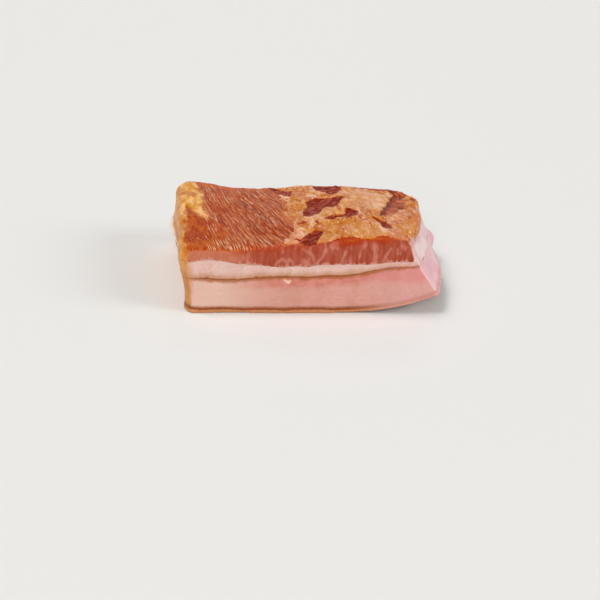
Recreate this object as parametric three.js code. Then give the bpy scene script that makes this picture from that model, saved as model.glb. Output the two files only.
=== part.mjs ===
// Smoked bacon slab: a block cut from a cured and smoked pork belly, lying on its rind.
// Three layers run right through it: back fat on the rind, a band of softer fat, and the
// lean meat, whose top carries a smoked membrane with torn holes.
// Millimetres, +Z up. X runs along the cut front face and Y from front to back. The origin
// is below the middle of the slab, on the surface that it rests on.
import * as THREE from "three";
import { ImprovedNoise } from "three/addons/math/ImprovedNoise.js";
import { ParametricGeometry } from "three/addons/geometries/ParametricGeometry.js";
import { mergeGeometries, mergeVertices } from "three/addons/utils/BufferGeometryUtils.js";

// Overall block
const DEPTH = 109; // between the two cut faces
const THICKNESS = 38; // usual height, which turns a length on a side into a share of it
const LAYER_GAP = 0.3; // clearance between two layers

// Rounding of the top edges and of the upright corners
const TOP_EDGE = { left: 4, right: 2.5, frontLeft: 3, frontRight: 1.4 };
const CORNER = { left: 5, rightFront: 1, rightBack: 6 };

// Mesh density, as cells along X and along Y
const CELLS_X = 54;
const CELLS_Y = 38;

// Plan: where the two ends lie, from the front (0) to the back (1), at the rind and at the
// top. The right end is cut askew and slopes outwards down to the rind.
const LEFT_RIND = [[0, -77], [0.3, -74.5], [0.7, -75], [0.92, -78], [1, -78]];
const LEFT_TOP = [[0, -78.5], [0.4, -79.3], [0.8, -79.3], [1, -79]];
const RIGHT_RIND = [[0, 63], [0.25, 71], [0.5, 75.5], [0.8, 78.5], [1, 73]];
const RIGHT_TOP = [[0, 42.5], [0.22, 53], [0.5, 62.5], [0.8, 67.8], [1, 64.5]];

// Height of the top above the resting plane, along the front and the back edge, by x
const TOP_FRONT = [
  [-78, 36], [-54, 36.2], [-28, 38.8], [-1, 40.7], [26, 43.2], [42, 42], [60, 40],
];
const TOP_BACK = [
  [-78, 38], [-64, 40], [-44, 37.2], [-20, 36.8], [14, 38.8], [40, 38], [54, 37.5], [60, 37.2],
];

// The two layer boundaries as a share of the thickness, by x
const FAT_TOP_FRONT = [
  [-78, 0.558], [-60, 0.527], [-42, 0.533], [-10, 0.524], [17, 0.522], [32, 0.578], [46, 0.605],
  [60, 0.62],
];
const FAT_TOP_BACK = [[-78, 0.5], [-40, 0.55], [0, 0.52], [40, 0.56], [70, 0.5]];
const LEAN_FLOOR_FRONT = [
  [-78, 0.8], [-61, 0.835], [-50, 0.787], [-38, 0.73], [-24, 0.675], [6, 0.675], [26, 0.655],
  [46, 0.682],
];
const LEAN_FLOOR_BACK = [[-78, 0.76], [-40, 0.7], [0, 0.73], [40, 0.67], [70, 0.72]];

// The rind lies flat up to CURL_START and then curls up towards the right end.
const CURL_START = 7;
const CURL = 0.0034;

// Torn holes in the membrane: [x, y, half length, half width, direction in degrees]
const HOLES = [
  [15, 41, 11, 8, 90],
  [6, 11, 16, 8, 50],
  [13, -12, 11, 4.5, 35],
  [-9, -47, 11, 4, 62],
  [33, -28, 9, 3, -70],
  [-17, 44, 11, 7, 60],
];
const HOLE_DEPTH = 1;

// The membrane covers the top to the right of this place, over the bare muscle.
const MEMBRANE_EDGE = -22;
const MEMBRANE = 0.7;

// Coarse grain of the bare muscle, which runs from front to back a little askew
const GRAIN_PITCH = 6.2;
const GRAIN_HEIGHT = 0.3;
const GRAIN_SKEW = 0.14;

// Loose edge of the membrane, by y. The meat behind it lies lower.
const FLAP_EDGE = [[-27, 31], [-7, 40], [13, 44], [33, 52], [50, 58]];
const FLAP_DROP = 1.4;

// How far the forms on the sides stand out, or how deep the crease goes
const RIND_FLARE = 0.7;
const RIND_GROOVE = 0.5;
const CREASE = 0.9;
const SOFT_ROLL = 0.6;
const FOLDS = 1.6;
const EAR = 4.5;
const BULGE = 5.5;
const WRAP = 0.92; // share of the thickness up to which soft fat covers the lean's right end

const mix = (a, b, t) => a + (b - a) * t;
const bump = (d, width) => Math.exp(-((d / width) ** 2));
const rise = (a, b, x) => THREE.MathUtils.smoothstep(x, a, b);
const depthShare = (y) => y / DEPTH + 0.5;

const perlin = new ImprovedNoise();
const lumps = (x, y, z, size) => perlin.noise(x / size + 7.3, y / size + 2.9, z / size + 5.1);

// Value of a smooth curve that goes through its [place, value] stations.
function through(stations, at) {
  const last = stations.length - 1;
  if (at <= stations[0][0]) return stations[0][1];
  if (at >= stations[last][0]) return stations[last][1];
  const i = stations.findIndex(([place]) => place > at) - 1;
  const [x0, y0] = stations[i];
  const [x1, y1] = stations[i + 1];
  const slope = (k) => {
    const a = stations[Math.max(k - 1, 0)];
    const b = stations[Math.min(k + 1, last)];
    return (b[1] - a[1]) / (b[0] - a[0]);
  };
  const span = x1 - x0;
  const t = (at - x0) / span;
  const t2 = t * t;
  const t3 = t2 * t;
  return (
    y0 * (2 * t3 - 3 * t2 + 1) +
    slope(i) * span * (t3 - 2 * t2 + t) +
    y1 * (3 * t2 - 2 * t3) +
    slope(i + 1) * span * (t3 - t2)
  );
}

// Height of the underside above the resting plane.
function curl(x, y) {
  const past = Math.max(x - CURL_START, 0);
  return CURL * past * past * mix(1, 0.66, rise(0.1, 0.9, depthShare(y)));
}

// How far a place lies inside a torn hole, from 0 outside to 1 at its floor.
function torn(x, y) {
  const depths = HOLES.map(([cx, cy, long, wide, degrees]) => {
    const turn = THREE.MathUtils.degToRad(degrees);
    const dx = x - cx;
    const dy = y - cy;
    const along = (dx * Math.cos(turn) + dy * Math.sin(turn)) / long;
    const across = (dy * Math.cos(turn) - dx * Math.sin(turn)) / wide;
    return 1 - rise(0.7, 1.25, Math.hypot(along, across));
  });
  return Math.max(...depths);
}

// Relief of the smoked top: coarse grain of the bare muscle on the left, fat along the
// left end, and the membrane with its holes and loose edge on the right.
function topRelief(x, y) {
  const membrane = rise(-3, 3, x - MEMBRANE_EDGE + 3 * lumps(0, y, 0, 9));
  const swirl = 3 * lumps(x, y, 5, 30) + 1.2 * lumps(x, y, 5, 9);
  const across = (x + GRAIN_SKEW * y + swirl) / GRAIN_PITCH;
  const grain = GRAIN_HEIGHT * Math.sin(2 * Math.PI * across);
  const fatStripe = 0.8 * bump(x + 72, 5) * rise(-60, 20, y);
  const pastFlap = x - through(FLAP_EDGE, y);
  const dropped = rise(-1, 2, pastFlap) * (1 - rise(5, 15, pastFlap)) * rise(-32, -18, y);
  const lump = 1.6 * bump(x - 61, 5) * bump(y - 47, 7);
  return (
    (1 - membrane) * grain + fatStripe + lump +
    membrane * (MEMBRANE - HOLE_DEPTH * torn(x, y) - FLAP_DROP * dropped)
  );
}

function topHeight(x, y) {
  const v = depthShare(y);
  const base = mix(through(TOP_FRONT, x), through(TOP_BACK, x), rise(0, 1, v));
  const crown = 1.1 * Math.sin(Math.PI * THREE.MathUtils.clamp(v, 0, 1));
  return base + crown + 0.8 * lumps(x, y, 0, 26) + topRelief(x, y);
}

// Layer boundaries as a share of the thickness at a place in plan.
function fatTop(x, y) {
  const front = through(FAT_TOP_FRONT, x);
  return mix(front, through(FAT_TOP_BACK, x), depthShare(y)) + 0.02 * lumps(x, y, 20, 30);
}

// Close to the right end the soft fat wraps up over the end of the lean.
function leanFloor(x, y, fromRight) {
  const front = through(LEAN_FLOOR_FRONT, x);
  const level = mix(front, through(LEAN_FLOOR_BACK, x), depthShare(y));
  const reach = mix(1.5, 5, rise(0, 0.15, depthShare(y)));
  const wrapped = 1 - rise(0.5, reach, fromRight);
  return mix(level + 0.02 * lumps(x, y, 40, 24), WRAP, wrapped);
}

// Relief of the two cut faces, outwards, at share w of the thickness. The rind stands
// proud, the soft fat bulges and a crease runs below it.
function faceRelief(x, y, w) {
  const crease = fatTop(x, y);
  const roll = mix(crease, leanFloor(x, y, 99), 0.5);
  return (
    RIND_FLARE * bump(w, 0.06) - RIND_GROOVE * bump(w - 0.085, 0.02) -
    CREASE * bump(w - crease, 0.035) * (1 - rise(30, 50, x)) + SOFT_ROLL * bump(w - roll, 0.07) +
    0.8 * lumps(x, y, 60 * w, 22)
  );
}

// Relief of the two ends: upright folds, a bulge of back fat low in the left back corner
// and a thick ear of it low in the right back corner.
function endRelief(v, w, rightEnd) {
  const folds = FOLDS * lumps(0, v * DEPTH, rightEnd ? 50 : 10 * w, 15);
  const form = rightEnd
    ? EAR * bump(v - 0.79, 0.1) * bump(w - 0.12, 0.17)
    : BULGE * bump(v - 0.97, 0.13) * bump(w - 0.34, 0.18);
  return folds + form + RIND_FLARE * bump(w, 0.06);
}

// How far the rounded top edge draws in at share w of the thickness.
function tuckIn(w, radius) {
  const above = THREE.MathUtils.clamp(radius - (1 - w) * THICKNESS, 0, radius);
  return radius - Math.sqrt(radius ** 2 - above ** 2);
}

// A place in the slab. u runs from the left end to the right, v from front to back, and w
// is the share of the thickness. Also gives the distance from the right end.
function slabPoint(u, v, w, target) {
  const leftEnd = mix(through(LEFT_RIND, v), through(LEFT_TOP, v), rise(0, 0.8, w));
  const rightEnd = mix(through(RIGHT_RIND, v), through(RIGHT_TOP, v), w);
  const left = leftEnd - endRelief(v, w, false) + tuckIn(w, TOP_EDGE.left);
  const right = rightEnd + endRelief(v, w, true) - tuckIn(w, TOP_EDGE.right);
  const x = mix(left, right, u);
  const rightCorner = mix(CORNER.rightFront, CORNER.rightBack, v);
  const cornerRadius = mix(CORNER.left, rightCorner, rise(0.3, 0.7, u));
  const inset = Math.min(x - left, right - x);
  const corner = THREE.MathUtils.clamp(cornerRadius - inset, 0, cornerRadius);
  const shrink = cornerRadius - Math.sqrt(cornerRadius ** 2 - corner ** 2);
  const edgeRadius = mix(TOP_EDGE.frontLeft, TOP_EDGE.frontRight, rise(-50, 0, x));
  const flat = mix(-DEPTH / 2, DEPTH / 2, v);
  const halfDepth = DEPTH / 2 - shrink - tuckIn(w, edgeRadius) + faceRelief(x, flat, w);
  const y = mix(-halfDepth, halfDepth, v);
  target.set(x, y, mix(curl(x, y), topHeight(x, y), w));
  return right - x;
}

// Closed solid of one layer. low and high give its two boundaries as a share of the
// thickness, rows the shares at which its side has a ring of vertices, and the ring lists
// the size of each ring of vertices in its floor and its roof.
function layer(name, colour, { low, high, rows, floorRings, roofRings }) {
  const around = 2 * (CELLS_X + CELLS_Y);
  // A place on the edge of the unit square, counterclockwise from the front left corner
  const rim = (s) => {
    const step = Math.round(s * around) % around;
    if (step < CELLS_X) return [step / CELLS_X, 0];
    if (step < CELLS_X + CELLS_Y) return [1, (step - CELLS_X) / CELLS_Y];
    if (step < 2 * CELLS_X + CELLS_Y) return [1 - (step - CELLS_X - CELLS_Y) / CELLS_X, 1];
    return [0, 1 - (step - 2 * CELLS_X - CELLS_Y) / CELLS_Y];
  };
  const pick = (list, t) => list[Math.round(t * (list.length - 1))];
  const place = (u, v, share, target) => {
    const fromRight = slabPoint(u, v, 0.5, target);
    const { x, y } = target;
    slabPoint(u, v, mix(low(x, y, fromRight), high(x, y, fromRight), share), target);
  };
  const cap = (share, rings) => {
    const ringed = (s, t, target) => {
      const [u, v] = rim(s);
      const size = pick(rings, t);
      place(mix(0.5, u, size), mix(0.5, v, size), share, target);
    };
    return new ParametricGeometry(ringed, around, rings.length - 1);
  };
  const side = (s, t, target) => place(...rim(s), pick(rows, t), target);
  const sheet = (u, v, target) => place(u, v, 1, target);
  const floor = cap(0, floorRings);
  floor.index.array.reverse();
  const roof = roofRings ? cap(1, roofRings) : new ParametricGeometry(sheet, CELLS_X, CELLS_Y);
  const walls = new ParametricGeometry(side, around, rows.length - 1);

  const joined = mergeGeometries([walls, floor, roof]);
  joined.deleteAttribute("normal");
  joined.deleteAttribute("uv");
  const geometry = mergeVertices(joined, 1e-3);
  const corners = geometry.index.array;
  const kept = [];
  for (let i = 0; i < corners.length; i += 3) {
    const [a, b, c] = corners.slice(i, i + 3);
    if (a !== b && b !== c && c !== a) kept.push(a, b, c);
  }
  geometry.setIndex(kept);
  geometry.computeVertexNormals();
  const look = { color: colour, roughness: 0.45, metalness: 0 };
  const mesh = new THREE.Mesh(geometry, new THREE.MeshStandardMaterial(look));
  mesh.name = name;
  return mesh;
}

const halfGap = LAYER_GAP / 2 / THICKNESS;
const fatRings = [1, 0.6, 0];
const leanRings = [1, 0.92, 0.6, 0];
const slab = new THREE.Group();
slab.name = "smoked_bacon_slab";
slab.add(
  layer("back_fat_on_rind", 0xe0b0a6, {
    low: () => 0,
    high: (x, y) => fatTop(x, y) - halfGap,
    rows: [0, 0.07, 0.14, 0.3, 0.6, 0.88, 1],
    floorRings: [1, 0.85, 0.65, 0.4, 0],
    roofRings: fatRings,
  }),
  layer("soft_fat_band", 0xebcbc0, {
    low: (x, y) => fatTop(x, y) + halfGap,
    high: (x, y, fromRight) => leanFloor(x, y, fromRight) - halfGap,
    rows: [0, 0.3, 0.7, 1],
    floorRings: fatRings,
    roofRings: leanRings,
  }),
  layer("lean_layer", 0xb9603f, {
    low: (x, y, fromRight) => leanFloor(x, y, fromRight) + halfGap,
    high: () => 1,
    rows: [0, 0.4, 0.72, 0.9, 1],
    floorRings: leanRings,
  }),
);

// Moves the origin below the middle of the whole slab.
const middle = new THREE.Box3().setFromObject(slab).getCenter(new THREE.Vector3());
slab.children.forEach(({ geometry }) => geometry.translate(-middle.x, -middle.y, 0));

export default slab;
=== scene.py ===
import math

import bpy
import numpy as np
from mathutils import Matrix, Vector, kdtree, noise
from mathutils.bvhtree import BVHTree


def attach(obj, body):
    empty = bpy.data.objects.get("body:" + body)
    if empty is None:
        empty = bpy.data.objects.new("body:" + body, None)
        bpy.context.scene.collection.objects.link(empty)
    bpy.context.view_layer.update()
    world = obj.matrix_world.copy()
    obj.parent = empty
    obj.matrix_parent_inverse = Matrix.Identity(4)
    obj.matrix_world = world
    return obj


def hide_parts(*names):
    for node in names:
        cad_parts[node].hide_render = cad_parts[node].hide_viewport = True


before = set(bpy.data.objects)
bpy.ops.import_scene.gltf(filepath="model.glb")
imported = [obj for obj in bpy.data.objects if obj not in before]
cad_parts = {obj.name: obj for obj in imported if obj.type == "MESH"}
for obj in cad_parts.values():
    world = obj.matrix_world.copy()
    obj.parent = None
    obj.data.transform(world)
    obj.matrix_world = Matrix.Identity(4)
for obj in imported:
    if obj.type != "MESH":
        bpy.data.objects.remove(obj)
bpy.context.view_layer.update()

bpy.ops.object.select_all(action="DESELECT")

# Back fat on its rind
# The thick lower layer is firm, pale pink back fat that is still on the smoked rind. It is
# cut clean at the front and the back, and a crease with painted brown shade below it parts
# it from the softer fat.
MM = 0.001
BACK_FAT_VOXEL = 0.68 * MM
BACK_FAT_SMOOTHING = 7
RIND_THICKNESS = 2.2
# How far the faces between two layers reach into the next layer, and how far their rims are
# drawn in, in millimetres
REACH_INTO = 0.6
DRAWN_IN = 0.45
# Where the rind starts to curl up along x, how fast, and how much less it does so at the back
CURL_FROM = 8
CURL_RATE = 0.0034
LESS_CURL_BEHIND = 0.34
# Where the smoke's stain ends that creeps round from the left end, along x
STAIN_END = -74.5


def copy_of_layer(node_name, piece_name):
    """A new piece that starts as the merged mesh of a CAD layer, with its sharp rims creased."""
    piece = bpy.data.objects.new(piece_name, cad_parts[node_name].data.copy())
    bpy.context.collection.objects.link(piece)
    piece.data.materials.clear()
    bpy.ops.object.select_all(action="DESELECT")
    bpy.context.view_layer.objects.active = piece
    piece.select_set(True)
    bpy.ops.mesh.customdata_custom_splitnormals_clear()
    bpy.ops.object.mode_set(mode="EDIT")
    bpy.ops.mesh.select_all(action="SELECT")
    bpy.ops.mesh.remove_doubles(threshold=1e-6)
    bpy.ops.mesh.tris_convert_to_quads()
    bpy.ops.mesh.select_all(action="DESELECT")
    bpy.ops.mesh.edges_select_sharp(sharpness=math.radians(50))
    bpy.ops.transform.edge_crease(value=1)
    bpy.ops.mesh.select_all(action="DESELECT")
    bpy.ops.object.mode_set(mode="OBJECT")
    return piece


def apply_modifier(piece, kind, **settings):
    modifier = piece.modifiers.new(kind.lower(), kind)
    for name, value in settings.items():
        setattr(modifier, name, value)
    bpy.context.view_layer.objects.active = piece
    bpy.ops.object.modifier_apply(modifier=modifier.name)


def points_of(piece):
    points = np.empty(len(piece.data.vertices) * 3)
    piece.data.vertices.foreach_get("co", points)
    return points.reshape(-1, 3) / MM


def normals_of(piece):
    normals = np.empty(len(piece.data.vertices) * 3)
    piece.data.vertex_normals.foreach_get("vector", normals)
    return normals.reshape(-1, 3)


def place_points(piece, points):
    piece.data.vertices.foreach_set("co", (points * MM).ravel())
    piece.data.update()


def surface_of(points, corners):
    return BVHTree.FromPolygons(points.tolist(), corners.tolist())


def distances(surface, points):
    return np.array([surface.find_nearest(point)[3] for point in points.tolist()])


def press_into(piece, neighbours):
    """Moves the faces that meet a neighbour into it and turns their rims in, so that two
    layers meet in a soft groove, which is all but closed on the right end. Gives the roof and
    floor rims and the outer faces."""
    touching = 0.45
    hidden = np.zeros(len(piece.data.polygons), bool)
    centres = np.array([polygon.center for polygon in piece.data.polygons]) / MM
    for name in neighbours:
        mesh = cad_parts[name].data
        mesh.calc_loop_triangles()
        corners = np.array([triangle.vertices for triangle in mesh.loop_triangles])
        near = distances(surface_of(np.array([v.co for v in mesh.vertices]) / MM, corners), centres)
        hidden |= near < touching
    group = piece.vertex_groups.new(name="hidden")
    inside = {v for face in np.flatnonzero(hidden) for v in piece.data.polygons[face].vertices}
    group.add(sorted(inside), 1, "REPLACE")
    apply_modifier(piece, "SUBSURF", levels=2, render_levels=2)

    points = points_of(piece)
    corners = np.array([polygon.vertices for polygon in piece.data.polygons])
    weights = np.zeros(len(points))
    for vertex in piece.data.vertices:
        weights[vertex.index] = sum(g.weight for g in vertex.groups)
    inner = weights > 0.999
    inner_face = inner[corners].all(axis=1)
    face_normals = np.array([polygon.normal for polygon in piece.data.polygons])
    cap = np.zeros_like(points)
    wall = np.zeros_like(points)
    for corner in range(4):
        np.add.at(cap, corners[inner_face, corner], face_normals[inner_face])
        np.add.at(wall, corners[~inner_face, corner], face_normals[~inner_face])
    cap /= np.maximum(np.linalg.norm(cap, axis=1, keepdims=True), 1e-9)
    rim = inner & (np.abs(wall).sum(axis=1) > 0)
    wall /= np.maximum(np.linalg.norm(wall, axis=1, keepdims=True), 1e-9)
    roof = cap[:, 2] > 0
    turned_in = DRAWN_IN * rim * (1 - 0.85 * np.clip(wall[:, 0], 0, 1))
    moved = points + cap * (REACH_INTO * inner)[:, None] - wall * turned_in[:, None]
    place_points(piece, moved)
    outer = surface_of(moved, corners[~inner_face])
    return points[rim & roof], points[rim & ~roof], outer


def remesh(piece, outer, voxel, passes):
    """Even fine faces all over, then few of them where another layer hides them."""
    apply_modifier(piece, "REMESH", mode="VOXEL", voxel_size=voxel)
    apply_modifier(piece, "SMOOTH", factor=0.5, iterations=passes)
    deep = 1.6
    buried = np.flatnonzero(distances(outer, points_of(piece)) > deep)
    group = piece.vertex_groups.new(name="buried")
    group.add(buried.tolist(), 1, "REPLACE")
    kept_share = 1 - 0.97 * len(buried) / len(piece.data.vertices)
    apply_modifier(piece, "DECIMATE", ratio=kept_share, vertex_group="buried")
    piece.vertex_groups.clear()


def height_over(rim, points):
    """How far each point lies above the nearest point of a rim, seen from above."""
    tree = kdtree.KDTree(len(rim))
    for index, (x, y, _) in enumerate(rim.tolist()):
        tree.insert((x, y, 0), index)
    tree.balance()
    nearest = [tree.find((x, y, 0))[1] for x, y, _ in points.tolist()]
    return points[:, 2] - rim[nearest, 2]


def rise(low, high, value):
    share = np.clip((value - low) / (high - low), 0, 1)
    return share * share * (3 - 2 * share)


def lumps(x, y, z, size, seed=0):
    """Smooth noise between about -1 and 1, with lumps of the given size in millimetres."""
    places = np.stack(np.broadcast_arrays(x, y, z), axis=-1) / size + 17.3 * seed + 5.1
    return np.array([noise.noise(place) for place in places.tolist()])


def even(values):
    """The same values about a mean of 0, with a usual spread of 1."""
    return (values - values.mean()) / values.std()


def swell(points):
    """How far the smoked left end bellies out near its front corner, in millimetres."""
    x, y, z = points.T
    return 1.5 * (1 - rise(-76, -66, x)) * (1 - rise(-40, 0, y)) * np.exp(-(((z - 27) / 10) ** 2))


def mark(piece, **values):
    """Keeps values of the surface for the material to read, such as where a stain lies."""
    for name, numbers in values.items():
        attribute = piece.data.attributes.new(name, "FLOAT", "POINT")
        attribute.data.foreach_set("value", numbers.astype(np.float32))


def shade_smooth(piece):
    piece.data.polygons.foreach_set("use_smooth", [True] * len(piece.data.polygons))
    piece.data.update()


def colour(rgb):
    """A colour for a shader, from its 0 to 255 values on a screen."""
    shares = [value / 255 for value in rgb]
    return [s / 12.92 if s <= 0.04045 else ((s + 0.055) / 1.055) ** 2.4 for s in shares] + [1]


def plug(tree, socket, source):
    """Sets a socket to a number or a colour, or links it to another node's output."""
    if isinstance(source, bpy.types.NodeSocket):
        tree.links.new(source, socket)
    elif isinstance(source, tuple) and len(source) == 3:
        socket.default_value = colour(source)
    else:
        socket.default_value = source


def reading(tree, name):
    node = tree.nodes.new("ShaderNodeAttribute")
    node.attribute_name = name
    return node.outputs["Fac"]


def place(tree, stretch=(1, 1, 1), turn=(0, 0, 0)):
    """A place on the piece in millimetres, stretched and turned for a pattern with a grain."""
    coordinates = tree.nodes.new("ShaderNodeTexCoord")
    mapping = tree.nodes.new("ShaderNodeMapping")
    mapping.vector_type = "TEXTURE"
    mapping.inputs["Rotation"].default_value = turn
    mapping.inputs["Scale"].default_value = [MM * value for value in stretch]
    tree.links.new(coordinates.outputs["Object"], mapping.inputs["Vector"])
    return mapping.outputs["Vector"]


def grain(tree, vector, size, detail=3.0, roughness=0.55, distortion=0.0):
    node = tree.nodes.new("ShaderNodeTexNoise")
    tree.links.new(vector, node.inputs["Vector"])
    node.inputs["Scale"].default_value = 1 / size
    node.inputs["Detail"].default_value = detail
    node.inputs["Roughness"].default_value = roughness
    node.inputs["Distortion"].default_value = distortion
    return node.outputs["Fac"]


def work(tree, operation, a, b=0.0, c=0.0):
    node = tree.nodes.new("ShaderNodeMath")
    node.operation = operation
    for socket, source in zip(node.inputs, (a, b, c)):
        plug(tree, socket, source)
    return node.outputs["Value"]


def between(tree, value, low, high):
    """0 below low, 1 above high and a soft step between them."""
    node = tree.nodes.new("ShaderNodeMapRange")
    node.interpolation_type = "SMOOTHSTEP"
    plug(tree, node.inputs["Value"], value)
    node.inputs["From Min"].default_value = low
    node.inputs["From Max"].default_value = high
    return node.outputs["Result"]


def below(tree, value, low, high):
    """1 below low, 0 above high and a soft step between them."""
    return work(tree, "SUBTRACT", 1.0, between(tree, value, low, high))


def jittered(tree, value, jitter, reach):
    """A value made uneven by a noise about 0.5, by up to half the reach either way."""
    return work(tree, "MULTIPLY_ADD", work(tree, "SUBTRACT", jitter, 0.5), reach, value)


def mixed(tree, share, a, b):
    node = tree.nodes.new("ShaderNodeMix")
    node.data_type = "RGBA"
    plug(tree, node.inputs["Factor"], share)
    plug(tree, node.inputs["A"], a)
    plug(tree, node.inputs["B"], b)
    return node.outputs["Result"]


def tint(tree, surface, share, rgb, strength=1.0):
    """The surface with a colour laid over it where the share says, as strongly as given."""
    if strength < 1:
        share = work(tree, "MULTIPLY", share, strength)
    return mixed(tree, share, surface, rgb)


def ragged(tree, name, jitter, reach=0.8, softness=0.35):
    """A stored distance in millimetres turned into a mask whose edge is torn by a fine noise."""
    return between(tree, jittered(tree, reading(tree, name), jitter, 2 * reach), -softness, softness)


def moist_material(name, roughness, wetness, flesh_depth):
    """A material for moist food: light goes in under the surface, to a depth in millimetres,
    and a thin wet coat shines. Gives the material, its tree and its shader."""
    material = bpy.data.materials.new(name)
    material.use_nodes = True
    shader = material.node_tree.nodes["Principled BSDF"]
    shader.inputs["Roughness"].default_value = roughness
    shader.inputs["Specular IOR Level"].default_value = 0.25
    shader.inputs["Coat Weight"].default_value = wetness
    shader.inputs["Coat Roughness"].default_value = 0.12
    shader.inputs["Subsurface Weight"].default_value = 0.3
    shader.inputs["Subsurface Radius"].default_value = (1.0, 0.45, 0.3)
    shader.inputs["Subsurface Scale"].default_value = flesh_depth * MM
    return material, material.node_tree, shader


def add_bump(tree, shader, height, depth):
    node = tree.nodes.new("ShaderNodeBump")
    node.inputs["Distance"].default_value = depth * MM
    plug(tree, node.inputs["Height"], height)
    tree.links.new(node.outputs["Normal"], shader.inputs["Normal"])


def cut_or_skin(points, normals):
    """Which way the surface faces, each from 0 to 1: front or back cut, left end, right end."""
    cut = rise(0.45, 0.75, np.abs(normals[:, 1]))
    left = rise(0.45, 0.75, -normals[:, 0]) * (points[:, 0] < 0)
    right = rise(0.45, 0.75, normals[:, 0]) * (points[:, 0] > 0)
    return cut, left, right


def inside_chain(x, y, chain):
    """Distance inside the outline of a chain of circles, negative outside it."""
    best = np.full(len(x), -1e3)
    for (x0, y0, r0), (x1, y1, r1) in zip(chain, chain[1:]):
        dx, dy = x1 - x0, y1 - y0
        share = np.clip(((x - x0) * dx + (y - y0) * dy) / (dx * dx + dy * dy), 0, 1)
        gap = np.hypot(x - x0 - share * dx, y - y0 - share * dy)
        best = np.maximum(best, r0 + share * (r1 - r0) - gap)
    return best


# A pale nick just below the crease, as a chain of (x, z, radius)
NICK = [(-23.6, 19.2, 0.1), (-21.3, 17.9, 0.5), (-20.6, 19.0, 0.2)]
# The low pale bulge at the back of the left end, as a chain of (y, z, radius)
PALE_BULGE = [(42, 9, 10), (54, 9, 12)]
back_fat = copy_of_layer("back_fat_on_rind", "back_fat")
roof_rim, _, outer = press_into(back_fat, ["soft_fat_band"])
remesh(back_fat, outer, BACK_FAT_VOXEL, BACK_FAT_SMOOTHING)
points = points_of(back_fat)
normals = normals_of(back_fat)
x, y, z = points.T
cut, left, right = cut_or_skin(points, normals)
below_crease = -height_over(roof_rim, points)
underside = rise(0.5, 0.8, -normals[:, 2])
curl = CURL_RATE * np.maximum(x - CURL_FROM, 0) ** 2 * (1 - LESS_CURL_BEHIND * rise(-43, 43, y))
over_rind = z - curl - RIND_THICKNESS - 0.4 * lumps(x, y, 0, 9, seed=1)
relief = 0.30 * lumps(x, y, z, 11, seed=2) + 0.10 * lumps(x, y, z, 3.4, seed=3)
upright = 0.35 * lumps(x, y, z / 6, 4.5, seed=4) * np.maximum(left, right)
leather = underside * (0.12 * lumps(x, y, z, 2.2, seed=5) + 0.10 * lumps(x, y, z, 6, seed=6))
knife = cut * 0.10 * lumps(x / 9, y, z / 1.2, 1.6, seed=7)
relief = relief * (1 - underside) + upright + leather + knife + swell(points)
place_points(back_fat, points + normals * relief[:, None])
unsmoked = rise(-2, 3, inside_chain(y, z, PALE_BULGE) + 1.6 * lumps(x, y, z, 6, seed=9))
mark(
    back_fat,
    below_crease=below_crease,
    over_rind=over_rind,
    cut=cut,
    smoked_end=left * (1 - unsmoked),
    fresh_end=right,
    lit_edge=np.clip(3 * cut * right, 0, 1) * (y < 0),
    pale_rind=np.maximum(rise(0.15, 0.5, normals[:, 0]) * (x > 0), 0.8 * rise(12, 40, x)),
    band_depth=below_crease * (1 - 0.42 * rise(15, 45, x)),
    far_right=rise(10, 50, x),
    nick=rise(-0.9, 0.5, inside_chain(x, z, NICK)) * (y < 0) * cut,
    bulge=left * unsmoked,
    towards_right=rise(-62, -20, x),
    creep=x - STAIN_END + 2.2 * lumps(x, y, z, 5, seed=8),
    underside=underside,
)
shade_smooth(back_fat)

# Its colours, as they look on a screen
FAT_LEFT = (222, 184, 166)
FAT_MIDDLE = (204, 148, 130)
FAT_RIGHT = (216, 158, 150)
ROSY_CLOUD = (222, 162, 152)
DRAWN_WHITE = (228, 182, 172)
FAT_SPECKS = (190, 128, 102)
BAND_DEEP_PINK = (202, 118, 98)
BAND_PINK = (214, 136, 124)
BAND_ROSE = (224, 148, 144)
BROWN_SHADE_BELOW_CREASE = (170, 92, 22)
FRESH_ROSE = (230, 172, 180)
FRESH_WHITE = (240, 196, 198)
BACK_FAT_OCHRE = (186, 108, 30)
BACK_FAT_TAN = (214, 148, 72)
BACK_FAT_CREEP = (196, 128, 60)
BULGE_WHITE = (252, 220, 204)
RIND_EDGE = (196, 130, 84)
RIND_LINE = (144, 66, 2)
NICK_WHITE = (246, 208, 188)
BACK_FAT_PAINTED_HIGHLIGHT = (250, 214, 196)
LEATHER_DARK = (112, 58, 24)
LEATHER_BROWN = (158, 90, 42)

material, tree, shader = moist_material("back fat", roughness=0.42, wetness=0.12, flesh_depth=3.0)
fine = grain(tree, place(tree), 1.3, 4)
cloudy = grain(tree, place(tree), 14, 3)
blotchy = grain(tree, place(tree), 5, 4, 0.6)
drawn = grain(tree, place(tree, (7, 7, 1)), 1.6, 3)
to_right = reading(tree, "towards_right")
pale_fat = mixed(tree, to_right, FAT_LEFT, FAT_MIDDLE)
pale_fat = tint(tree, pale_fat, reading(tree, "far_right"), FAT_RIGHT)
cloud = work(tree, "MULTIPLY", between(tree, cloudy, 0.35, 0.65), work(tree, "MULTIPLY", to_right, 0.6))
pale_fat = tint(tree, pale_fat, cloud, ROSY_CLOUD)
pale_fat = tint(tree, pale_fat, between(tree, drawn, 0.5, 0.8), DRAWN_WHITE, 0.35)
speck_strength = work(tree, "MULTIPLY_ADD", to_right, 0.18, 0.08)
speck = work(tree, "MULTIPLY", between(tree, fine, 0.5, 0.66), speck_strength)
pale_fat = tint(tree, pale_fat, speck, FAT_SPECKS)
band_edge = jittered(tree, reading(tree, "band_depth"), cloudy, 5.0)
pink_band = below(tree, band_edge, 3.4, 7.4)
pink_band = work(tree, "MULTIPLY", pink_band, work(tree, "MULTIPLY", reading(tree, "cut"), to_right))
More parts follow.
